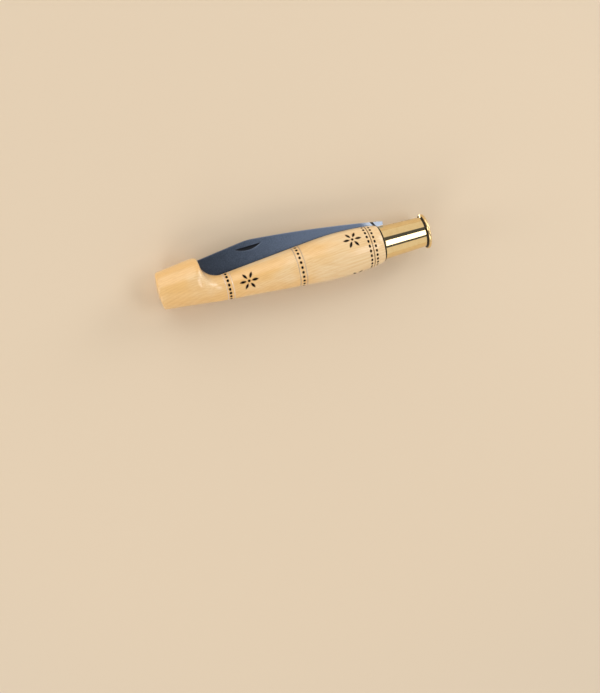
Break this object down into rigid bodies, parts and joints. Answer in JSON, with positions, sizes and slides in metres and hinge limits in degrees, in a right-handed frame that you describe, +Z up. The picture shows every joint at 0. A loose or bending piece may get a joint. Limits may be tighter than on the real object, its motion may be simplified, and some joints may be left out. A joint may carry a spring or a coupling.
{
  "type": "folding pen knife",
  "caption": "Folding pen knife: clog-shaped turned boxwood handle, leaf-shaped steel blade on a pin, and a slit brass ferrule that turns to lock the blade.",
  "frame": {"origin": "middle of the knife's bounding box, on the surface that it lies on, with the blade closed", "axes": "+X along the handle from the butt to the ferrule, +Y towards the slot and the back of the closed blade, +Z up, square to the blade's face that has the nail nick"},
  "size_m": [0.1186, 0.026, 0.0203],
  "materials": {
    "boxwood": "polished boxwood with fine grain and burnt ornament",
    "blade_steel": "dark blue-grey carbon steel, finely brushed",
    "pin_steel": "plain drawn steel",
    "brass": "polished brass with fine handling marks"
  },
  "bodies": {
    "handle": {"handle": "boxwood", "pivot_pin": "pin_steel"},
    "blade": {"blade": "blade_steel"},
    "ferrule": {"ferrule": "brass"}
  },
  "joints": [
    {"name": "blade_pivot", "type": "hinge", "parent": "handle", "child": "blade", "pos_m": [0.05015, -0.00234, 0.01013], "axis": [0, 0, -1], "range_deg": [0, 174]},
    {"name": "ferrule_turn", "type": "hinge", "parent": "handle", "child": "ferrule", "pos_m": [0.05015, -0.00334, 0.01013], "axis": [1, 0, 0], "continuous": true}
  ]
}
